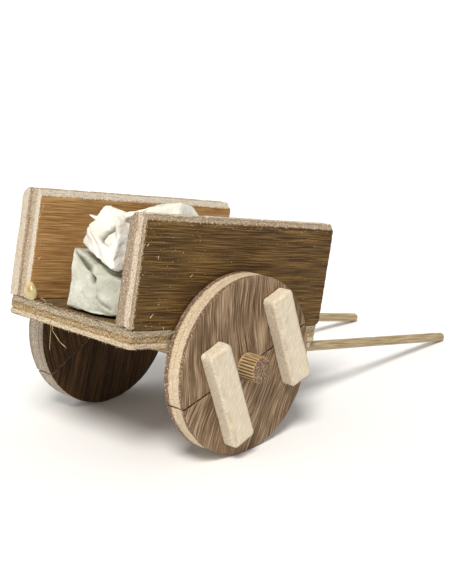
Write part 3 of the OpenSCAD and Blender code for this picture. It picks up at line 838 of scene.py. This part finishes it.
# %% Stone material
def stone_of(name, dark, middle, light, seed):
    """Broken limestone or chalk: matt, slightly mottled, with painted shade in its creases."""
    material, tree, shader = new_material(name)
    place = add(tree, "ShaderNodeAttribute", attribute_name="wood").outputs["Vector"]
    wear = add(tree, "ShaderNodeAttribute", attribute_name="wear").outputs["Fac"]
    moved = add(tree, "ShaderNodeVectorMath", {0: place, 1: (seed, 0, seed)})
    cloud = add(tree, "ShaderNodeTexNoise", {"Vector": moved, "Scale": 1 / 9, "Detail": 5.0,
                "Roughness": 0.6})
    base = add(tree, "ShaderNodeValToRGB", {"Fac": cloud},
               stops=((0.3, dark), (0.5, middle), (0.68, light)))
    dust = add(tree, "ShaderNodeTexNoise", {"Vector": moved, "Scale": 1 / 0.9, "Detail": 4.0,
               "Roughness": 0.7})
    speck = add(tree, "ShaderNodeMapRange", {"Value": dust, "From Min": 0.6, "From Max": 0.72,
                "To Max": 0.5})
    dotted = add(tree, "ShaderNodeMix", {0: speck, 6: base, 7: light_of(dark)},
                 data_type="RGBA", blend_type="MULTIPLY")
    # Painted shade: the creases, given by the wear attribute, are multiplied dark.
    crease_shade = add(tree, "ShaderNodeMix", {0: wear, 6: dotted, 7: light_of("#767260")},
                 data_type="RGBA", blend_type="MULTIPLY")
    tree.links.new(crease_shade.outputs[2], shader.inputs["Base Color"])
    shader.inputs["Roughness"].default_value = 0.88
    shader.inputs["Specular IOR Level"].default_value = 0.25
    bump = add(tree, "ShaderNodeBump", {"Height": dust, "Strength": 0.5,
               "Distance": 0.35 * MM})
    tree.links.new(bump.outputs["Normal"], shader.inputs["Normal"])
    return material


grey_stone = stone_of("grey_limestone", "#a0a294", "#c3c4b6", "#d6d7cc", 3.0)
# Painted light: the rear stone is the same limestone as the block, drawn paler to make up for the
# shade it falls in.
rear_stone_lit_copy = stone_of("limestone_painted_paler", "#c9cabf", "#e6e6dc", "#f2f2ea", 5.0)
white_stone = stone_of("white_chalk", "#dcd9cb", "#f2efe6", "#fbf9f3", 11.0)
print(grey_stone.name, rear_stone_lit_copy.name, white_stone.name, sep=", ")

# %% How a stone breaks
def finely_cut(node, step):
    """(points in mm, faces) of an even net over a copy of a CAD solid."""
    copy = frame["nodes"][node].data.copy()
    holder = bpy.data.objects.new("cutting", copy)
    bpy.context.collection.objects.link(holder)
    weld = holder.modifiers.new("weld", "WELD")
    weld.merge_threshold = 1e-6
    net = holder.modifiers.new("net", "REMESH")
    net.mode, net.voxel_size = "VOXEL", step * MM
    ready = holder.evaluated_get(bpy.context.evaluated_depsgraph_get())
    made = bpy.data.meshes.new_from_object(ready)
    points = np.array([v.co for v in made.vertices]) / MM
    faces = np.array([list(f.vertices) for f in made.polygons])
    bpy.data.objects.remove(holder)
    return points, faces


def struck(p, seed, count, depth):
    """Cuts the points back to random flat planes, about depth mm in."""
    rng = np.random.default_rng(seed)
    middle = (p.min(0) + p.max(0)) / 2
    for way in rng.normal(size=(count, 3)):
        way /= np.linalg.norm(way)
        reach = (p - middle) @ way
        past = reach - reach.max() + depth * rng.uniform(0.4, 1.5)
        p = p - np.clip(past, 0, None)[:, None] * way
    return p


def crease(p, path, width, depth):
    """How deep each point lies in a groove that follows the path."""
    nearest = np.full(len(p), 1e9)
    for a, b in zip(path[:-1], path[1:]):
        a, b = np.array(a), np.array(b)
        t = np.clip(((p - a) @ (b - a)) / ((b - a) @ (b - a)), 0, 1)
        nearest = np.minimum(nearest, np.linalg.norm(p - a - t[:, None] * (b - a), axis=1))
    return depth * above(width - nearest, 0, width) ** 1.3


def flakes(p, seed, size):
    """Broken steps from 0 to 1: lumps whose heights are cut into terraces."""
    height = lumps(p, size, seed) + 0.35 * lumps(p, size * 0.45, seed + 1)
    steps = height * 5
    return (np.floor(steps) + above(steps % 1, 0.72, 1.0)) / 6


# %% Stones
def spur_of(root, tip, thick, seed):
    """(points, faces) of a flat, ragged point that tapers from root to tip."""
    length = np.linalg.norm(tip - root)
    s = np.linspace(0, 1, 16)
    p, faces = turned(s * length, thick * (1 - s) ** 0.7 + 0.03, 16)
    p[:, 2] *= 0.55
    p[:, 1:] *= 0.7 + 0.6 * lumps(p, 1.1, seed)[:, None]
    way = (tip - root) / length
    side = np.cross((0, 0, 1.0), way)
    side /= np.linalg.norm(side)
    return root + p @ np.stack([way, side, np.cross(way, side)]), faces


def stone(name, node, material, seed, creases, size, depth, planes, struck_off, spurs=()):
    p, faces = finely_cut(node, 0.5)
    start = p
    p = struck(p, seed, planes, struck_off)
    cut = sum((crease(start, *c) for c in creases), np.zeros(len(p)))
    warped = start + 2 * lumps(start, 4.0, seed + 5)[:, None]
    inward = cut + flakes(warped, seed, size) * depth
    inward += 0.2 * lumps(start, 1.3, seed + 2) + 0.12 * lumps(start, 0.7, seed + 3)
    p = p - outward(start, faces) * inward[:, None]
    # The creases' depth becomes painted shade, which the stone's material multiplies in.
    crease_shade = above(cut, 0.5, 1.8) * 0.85
    faces = faces.tolist()
    for root, tip, thick in spurs:
        spur, spur_faces = spur_of(np.array(root), np.array(tip), thick, seed)
        faces += [[len(p) + corner for corner in face] for face in spur_faces]
        p, start, crease_shade = np.r_[p, spur], np.r_[start, spur], np.r_[crease_shade, np.zeros(len(spur))]
    piece = make_piece(name, p, faces, standing, material, start, crease_shade)
    stands_for(piece, node)


stone("block_stone", "stone_block", grey_stone, 81, (
    (((-91.3, 4.7, 75.0), (-93.7, -2.9, 72.4), (-97.6, -8.5, 67.7)), 2.5, 2.6),
    (((-98.0, -11.5, 61.5), (-97.8, -13.2, 59.6), (-95.7, -16.0, 57.9)), 1.2, 1.3),
    (((-97.9, -12.0, 64.5), (-97.0, -14.5, 62.5), (-95.5, -17.0, 61.0)), 1.1, 1.1),
    (((-98.5, -4.0, 62.0), (-98.8, -5.5, 58.0), (-98.5, -6.0, 55.5)), 1.0, 0.8),
), size=6.0, depth=1.2, planes=12, struck_off=1.4)
stone("white_stone", "stone_white", white_stone, 91, (
    (((-91.9, -6.5, 80.6), (-91.2, -9.0, 83.6), (-89.6, -12.6, 86.1)), 1.5, 2.4),
    (((-89.6, -12.6, 86.1), (-86.5, -8.5, 88.0), (-84.9, -6.3, 91.5)), 1.2, 1.5),
    (((-91.9, -6.5, 80.6), (-92.3, -10.0, 79.0), (-91.0, -14.0, 81.0)), 1.0, 1.2),
    (((-91.0, 1.0, 84.0), (-92.0, -3.0, 78.0), (-92.5, -6.0, 74.0)), 1.3, 0.9),
), size=4.5, depth=1.5, planes=16, struck_off=0.7, spurs=(
    ((-86.5, -2.0, 86.0), (-89.8, 0.8, 88.4), 1.8),
    ((-82.0, -10.5, 88.3), (-78.5, -17.5, 91.4), 2.2)))
stone("grey_stone", "stone_grey", rear_stone_lit_copy, 97, (), size=8.0, depth=0.9,
      planes=12, struck_off=0.3)

# %% [markdown]
# ## Glue
# The cart is held with hot-melt glue. It sets as clear yellow beads and pulls out into
# threads where the gun was drawn away. One bead was squeezed out of the rear left corner.

# %% Glue
def hot_glue():
    """Yellowed hot-melt glue: a soft, waxy plastic that light goes into."""
    material, tree, shader = new_material("hot_melt_glue")
    place = add(tree, "ShaderNodeTexCoord").outputs["Object"]
    cloud = add(tree, "ShaderNodeTexNoise", {"Vector": place, "Scale": 400.0, "Detail": 2.0})
    base = add(tree, "ShaderNodeValToRGB", {"Fac": cloud},
               stops=((0.3, "#c8b17a"), (0.55, "#e0cf9a"), (0.75, "#f1e8c0")))
    tree.links.new(base.outputs["Color"], shader.inputs["Base Color"])
    shader.inputs["Roughness"].default_value = 0.18
    shader.inputs["IOR"].default_value = 1.48
    shader.inputs["Transmission Weight"].default_value = 0.3
    shader.inputs["Subsurface Weight"].default_value = 0.3
    shader.inputs["Subsurface Radius"].default_value = (0.002, 0.0015, 0.0008)
    bump = add(tree, "ShaderNodeBump", {"Height": cloud, "Strength": 0.2,
               "Distance": 0.5 * MM})
    tree.links.new(bump.outputs["Normal"], shader.inputs["Normal"])
    return material


def lumpy_glue(name, node, seed):
    p, faces = finely_cut(node, 0.4)
    sag = 0.35 * lumps(p, 4.0, seed) + 0.12 * lumps(p, 1.2, seed + 1)
    piece = make_piece(name, p - outward(p, faces) * sag[:, None], faces, standing, glue)
    stands_for(piece, node)


glue = hot_glue()
for name in ("glue_axle", "glue_handle_right", "glue_handle_left"):
    lumpy_glue("lumpy_" + name, name, len(name))

# %% The bead in the rear left corner
def glue_bead():
    """A drop, 8 mm high, that is widest near the floor and leans on the board's end."""
    s, height, widest = np.linspace(0, 1, 40), 8.4, 3.7
    p, faces = turned(s * height, widest * np.sin(math.pi * s) ** 0.6 * (1.06 - 0.5 * s) + 0.01)
    p = p[:, [1, 2, 0]] * (0.6, 1.0, 1.0)
    p += 0.6 * lumps(p, 2.6, 7)[:, None] * (0.6, 1, 0.3)
    p[:, 1] += 2.4 * (p[:, 2] / height) ** 2
    p += (0.4, FLOOR[1] / 2 - LEFT_T - 0.9, FLOOR[2] - 0.9)
    p[:, 2] = np.maximum(p[:, 2], FLOOR[2] - 0.1)
    stands_for(make_piece("corner_glue_bead", p, faces, on_bed, glue), "glue_corner")


glue_bead()

# %% [markdown]
# ## Threads of glue
# Where the gun was drawn away, glue hangs in threads a tenth of a millimetre or two thick.
# Each is a path of a few points. Geometry Nodes turn it into a smooth, slightly uneven curve
# and sweep a circle along it.

# %% Threads by Geometry Nodes
def thread_tree():
    tree, given, result = node_tree("glue_threads", (
        ("Thickness", "NodeSocketFloat", 0.26), ("Shake", "NodeSocketFloat", 0.25),
        ("Step", "NodeSocketFloat", 0.4), ("Material", "NodeSocketMaterial", None)))
    path = add(tree, "GeometryNodeMeshToCurve", {"Mesh": given["Geometry"]})
    fine = add(tree, "GeometryNodeResampleCurve", {"Curve": path, "Length": given["Step"]},
               mode="LENGTH")
    place = add(tree, "GeometryNodeInputPosition")
    noise = add(tree, "ShaderNodeTexNoise", {"Vector": place, "Scale": 0.5, "Detail": 2.0})
    sway = add(tree, "ShaderNodeVectorMath", {0: noise.outputs["Color"], 1: (0.5, 0.5, 0.5)},
               operation="SUBTRACT")
    shake = add(tree, "ShaderNodeVectorMath", {0: sway, "Scale": given["Shake"]},
                operation="SCALE")
    bent = add(tree, "GeometryNodeSetPosition", {"Geometry": fine, "Offset": shake})
    thick = add(tree, "ShaderNodeMapRange", {"Value": noise, "From Min": 0.3, "From Max": 0.7,
                "To Min": 0.4, "To Max": 1.0})
    uneven = add(tree, "ShaderNodeMath", {0: thick, 1: given["Thickness"]},
                 operation="MULTIPLY")
    circle = add(tree, "GeometryNodeCurvePrimitiveCircle", {"Resolution": 8, "Radius": 0.5})
    tube = add(tree, "GeometryNodeCurveToMesh", {"Curve": bent, "Profile Curve": circle,
               "Scale": uneven, "Fill Caps": True})
    smooth = add(tree, "GeometryNodeSetShadeSmooth", {"Geometry": tube})
    finished(tree, smooth, given, result)
    return tree


def threads(name, paths, body):
    """paths are rows of places on the standing cart, in mm."""
    points = [p for path in paths for p in path]
    first = np.cumsum([0] + [len(path) for path in paths[:-1]])
    edges = [(f + i, f + i + 1) for f, path in zip(first, paths) for i in range(len(path) - 1)]
    mesh = bpy.data.meshes.new(name)
    mesh.from_pydata(points, [tuple(map(int, e)) for e in edges], [])
    piece = grown(name, thread_tree(), glue, mesh, standing)
    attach(piece, body)
    print(f"{name}: {len(paths)} threads, {len(piece.data.polygons)} faces")


threads("hanging_glue", (
    ((-104.2, 7.0, 50.5), (-104.7, 6.0, 48.0), (-105.2, 6.2, 44.0), (-104.9, 6.9, 40.0)),
    ((-104.2, 5.8, 50.2), (-104.8, 4.9, 47.6), (-104.6, 1.4, 44.2), (-104.4, -2.1, 42.6)),
    ((-102.0, 14.6, 57.2), (-101.6, 13.0, 56.6), (-102.2, 11.5, 56.0), (-101.2, 9.0, 55.8)),
), "cart")

# %% [markdown]
# ## Splinters and sawdust
# Sawn plywood sheds. Torn fibres stand up along every sawn edge, and short pale slivers and
# sawdust cling to the faces. One small tapering sliver is repeated at points along the
# edges and over the faces, turned and stretched at random.

# %% Slivers by Geometry Nodes
def sliver_tree():
    tree, given, result = node_tree("slivers", (
        ("Thickness", "NodeSocketFloat", 0.07), ("Shortest", "NodeSocketFloat", 0.25),
        ("Longest", "NodeSocketFloat", 1.5), ("Disorder", "NodeSocketFloat", 0.9),
        ("Seed", "NodeSocketInt", 5), ("Material", "NodeSocketMaterial", None)))
    sliver = add(tree, "GeometryNodeMeshCone", {"Vertices": 5, "Side Segments": 1,
                 "Radius Top": 0.01, "Radius Bottom": given["Thickness"], "Depth": 1.0})
    way = add(tree, "GeometryNodeInputNamedAttribute", {"Name": "way"},
              data_type="FLOAT_VECTOR")
    astray = add(tree, "FunctionNodeRandomValue", {"Min": (-1, -1, -1), "Max": (1, 1, 1),
                 "Seed": given["Seed"]}, data_type="FLOAT_VECTOR")
    stray = add(tree, "ShaderNodeVectorMath", {0: astray, "Scale": given["Disorder"]},
                operation="SCALE")
    aim = add(tree, "ShaderNodeVectorMath", {0: way, 1: stray})
    turned_to = add(tree, "FunctionNodeAlignRotationToVector", {"Vector": aim}, axis="Z")
    chance = add(tree, "FunctionNodeRandomValue", {2: 0.0, 3: 1.0, "Seed": given["Seed"]},
                 data_type="FLOAT")
    rare = add(tree, "ShaderNodeMath", {0: chance, 1: 3.0}, operation="POWER")
    length = add(tree, "ShaderNodeMapRange", {"Value": rare, "To Min": given["Shortest"],
                 "To Max": given["Longest"]})
    size = add(tree, "ShaderNodeCombineXYZ", {0: 1.0, 1: 1.0, 2: length})
    placed = add(tree, "GeometryNodeInstanceOnPoints", {"Points": given["Geometry"],
                 "Instance": sliver, "Rotation": turned_to, "Scale": size})
    finished(tree, placed, given, result)
    return tree


def loose_wood():
    """A torn fibre of bare wood: pale and matt."""
    material, tree, shader = new_material("loose_wood_fibre")
    place = add(tree, "ShaderNodeTexCoord").outputs["Object"]
    cloud = add(tree, "ShaderNodeTexNoise", {"Vector": place, "Scale": 700.0})
    tone = add(tree, "ShaderNodeValToRGB", {"Fac": cloud},
               stops=((0.35, "#b59c76"), (0.5, "#dccbab"), (0.65, "#f1e7d0")))
    tree.links.new(tone.outputs["Color"], shader.inputs["Base Color"])
    shader.inputs["Roughness"].default_value = 0.85
    return material


fibre_wood = loose_wood()
slivers_on = sliver_tree()

# %% Where the slivers are
def slivers(name, places, ways, values):
    """Slivers at these places in the level bed, each pointing roughly its own way."""
    mesh = bpy.data.meshes.new(name)
    mesh.from_pydata(places.tolist(), [], [])
    attribute = mesh.attributes.new("way", "FLOAT_VECTOR", "POINT")
    attribute.data.foreach_set("vector", ways.astype(np.float32).ravel())
    piece = grown(name, slivers_on, fibre_wood, mesh, on_bed, values)
    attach(piece, "cart")
    print(f"{name}: {len(places)} slivers, {len(piece.data.polygons)} faces")


def along_edges(edges, seed):
    """Random points along edges that are given as start, end, outward way and number."""
    rng = np.random.default_rng(seed)
    places = [np.array(a) + rng.random((n, 1)) * (np.array(b) - a) for a, b, _, n in edges]
    return np.concatenate(places), np.concatenate([np.tile(w, (n, 1)) for _, _, w, n in edges])


def on_faces(faces, seed):
    """Random points on rectangles, given as a corner, two sides, the grain's way and number."""
    rng = np.random.default_rng(seed)
    places, ways = [], []
    for corner, side_a, side_b, grain, n in faces:
        share = rng.random((n, 2, 1))
        places.append(np.array(corner) + share[:, 0] * side_a + share[:, 1] * side_b)
        ways.append(np.tile(grain, (n, 1)))
    return np.concatenate(places), np.concatenate(ways)


half_w, floor_t = FLOOR[1] / 2, FLOOR[2]
top, inner_left = floor_t + SIDE_H, half_w - LEFT_T
places, ways = along_edges((
    ((0.2, -half_w, floor_t), (0.2, -half_w, top - 4), (-0.3, -0.6, 0.3), 90),
    ((0.2, -half_w + RIGHT_T, floor_t), (0.2, -half_w + RIGHT_T, top - 4), (-0.5, 0.5, 0), 70),
    ((0.2, -half_w + 1, top - 1.2), (0.2, -half_w + RIGHT_T - 1, top - 1.2), (-0.6, 0, 0.5), 20),
    ((0.2, inner_left, floor_t + 8), (0.2, inner_left, top - 3), (-0.5, -0.5, 0.2), 90),
    ((0.2, half_w, floor_t), (0.2, half_w, top - 4), (-0.5, 0.5, 0), 60),
    ((0.4, -half_w + 2, floor_t), (0.4, half_w - 2, floor_t), (-0.5, 0, 0.4), 170),
    ((0.4, -half_w + 2, 0.3), (0.4, half_w - 2, 0.3), (-0.5, 0, -0.5), 130),
    ((0.4, -half_w + 2, 3.4), (0.4, half_w - 2, 3.4), (-0.7, 0, 0.1), 110),
    ((2, -half_w + 0.3, 0.3), (102, -half_w + 0.3, 0.3), (0.3, -0.5, -0.4), 110),
    ((1, -half_w + 0.2, top - 3.4), (103, -half_w + 0.2, top - 3.4), (0.6, -0.4, 0.1), 130),
    ((1, half_w - 6, top), (103, half_w - 6, top), (0.5, 0, 0.5), 60),
), 11)
slivers("torn_fibres", places, ways, {"Longest": 1.2, "Disorder": 0.7, "Seed": 3})

# %% Sawdust and single splinters
places, ways = on_faces((
    ((1, -half_w, floor_t + 1), (100, 0, 0), (0, 0, SIDE_H - 6), (1, 0, 0), 110),
    ((1, -half_w, floor_t + 1), (30, 0, 0), (0, 0, SIDE_H - 6), (1, 0, 0), 45),
    ((1, inner_left, floor_t + 2), (100, 0, 0), (0, 0, SIDE_H - 8), (1, 0, 0), 90),
    ((1, -half_w + RIGHT_T, floor_t), (35, 0, 0), (0, FLOOR[1] - 20, 0), (1, 0, 0), 120),
), 12)
slivers("sawdust", places, ways, {"Thickness": 0.09, "Shortest": 0.12, "Longest": 0.6,
                                  "Disorder": 1.6, "Seed": 8})

# Standing places in mm of single splinters, and the ways in which they point.
SPLINTERS = (((-94.2, -34.1, 83.9), (0.5, -0.1, 1.0)), ((-88.8, -33.9, 79.4), (0.0, -0.1, -1.0)),
             ((-93.1, -33.9, 58.3), (0.8, -0.1, 0.9)), ((-95.6, -34.0, 56.0), (0.9, -0.1, -0.3)),
             ((-86.9, -33.7, 53.6), (0.4, -0.1, -0.7)), ((-73.4, -33.4, 68.8), (0.7, -0.1, 0.7)),
             ((-98.3, 20.1, 70.0), (0.6, -0.1, 0.5)), ((-97.3, 20.0, 85.2), (0.2, -0.3, 1.0)),
             ((-96.2, 19.6, 88.0), (0.3, -0.1, 1.0)))
to_bed = np.array(on_bed.inverted())
places = np.array([p for p, _ in SPLINTERS]) * MM @ to_bed[:3, :3].T + to_bed[:3, 3]
slivers("single_splinters", places, np.array([w for _, w in SPLINTERS]),
        {"Thickness": 0.16, "Shortest": 1.2, "Longest": 3.2, "Disorder": 0.15, "Seed": 2})
